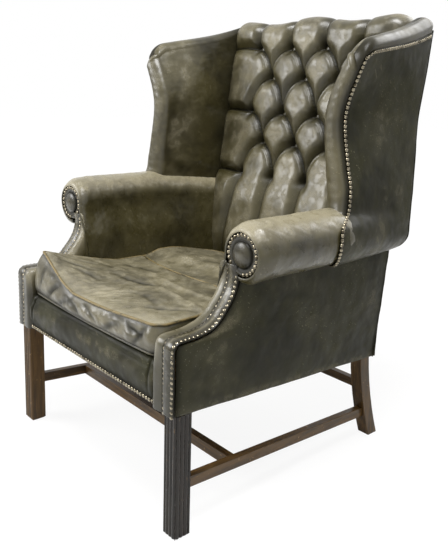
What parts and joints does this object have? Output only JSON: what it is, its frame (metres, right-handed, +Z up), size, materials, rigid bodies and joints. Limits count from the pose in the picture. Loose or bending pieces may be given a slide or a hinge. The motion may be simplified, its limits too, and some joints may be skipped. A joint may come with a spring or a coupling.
{
  "type": "wing chair",
  "caption": "Worn leather wing chair with a deep-buttoned back, scroll arms, a loose seat cushion and square reeded legs joined by stretchers.",
  "frame": {"origin": "floor level, under the middle of the chair's bounding box", "axes": "+X towards the sitter's left arm (the viewer's right from the front), +Y towards the back, +Z up; the sitter faces -Y"},
  "size_m": [0.8736, 0.82, 1.159],
  "materials": {
    "polished_mahogany": "dark polish, rubbed at the edges",
    "faded_mahogany": "worn brown polish",
    "frame_beech": "bare planed beech, hidden",
    "webbing": "woven jute webbing, hidden",
    "platform_cloth": "black platform cloth",
    "rubbed_leather": "olive leather rubbed pale by use, semi-gloss",
    "aged_leather": "hand-rubbed olive green leather, semi-gloss",
    "dark_leather": "hand-rubbed dark green leather, mottled"
  },
  "bodies": {
    "root": {"front_leg_right": "polished_mahogany", "front_leg_left": "polished_mahogany", "rear_leg_right": "faded_mahogany", "rear_leg_left": "faded_mahogany", "side_stretcher_right": "faded_mahogany", "side_stretcher_left": "faded_mahogany", "medial_stretcher": "faded_mahogany", "rear_stretcher": "faded_mahogany", "front_seat_rail": "frame_beech", "back_seat_rail": "frame_beech", "side_seat_rail_right": "frame_beech", "side_seat_rail_left": "frame_beech", "front_corner_block_right": "frame_beech", "front_corner_block_left": "frame_beech", "rear_corner_block_right": "frame_beech", "rear_corner_block_left": "frame_beech", "crest_rail": "frame_beech", "stay_rail": "frame_beech", "arm_stump_right": "frame_beech", "arm_stump_left": "frame_beech", "arm_rail_right": "frame_beech", "arm_rail_left": "frame_beech", "wing_post_right": "frame_beech", "wing_post_left": "frame_beech", "wing_rail_right": "frame_beech", "wing_rail_left": "frame_beech", "seat_web_1": "webbing", "seat_web_2": "webbing", "seat_web_3": "webbing", "seat_web_4": "webbing", "seat_web_5": "webbing", "seat_deck": "platform_cloth", "dust_cover": "platform_cloth", "seat_cushion": "rubbed_leather", "inside_arm_right": "rubbed_leather", "inside_arm_left": "rubbed_leather", "front_lip": "aged_leather", "inner_back": "aged_leather", "inside_wing_right": "aged_leather", "inside_wing_left": "aged_leather", "arm_facing_right": "aged_leather", "arm_facing_left": "aged_leather", "outside_wing_right": "dark_leather", "outside_wing_left": "dark_leather", "outside_arm_right": "dark_leather", "outside_arm_left": "dark_leather", "outside_back": "dark_leather"}
  },
  "joints": []
}
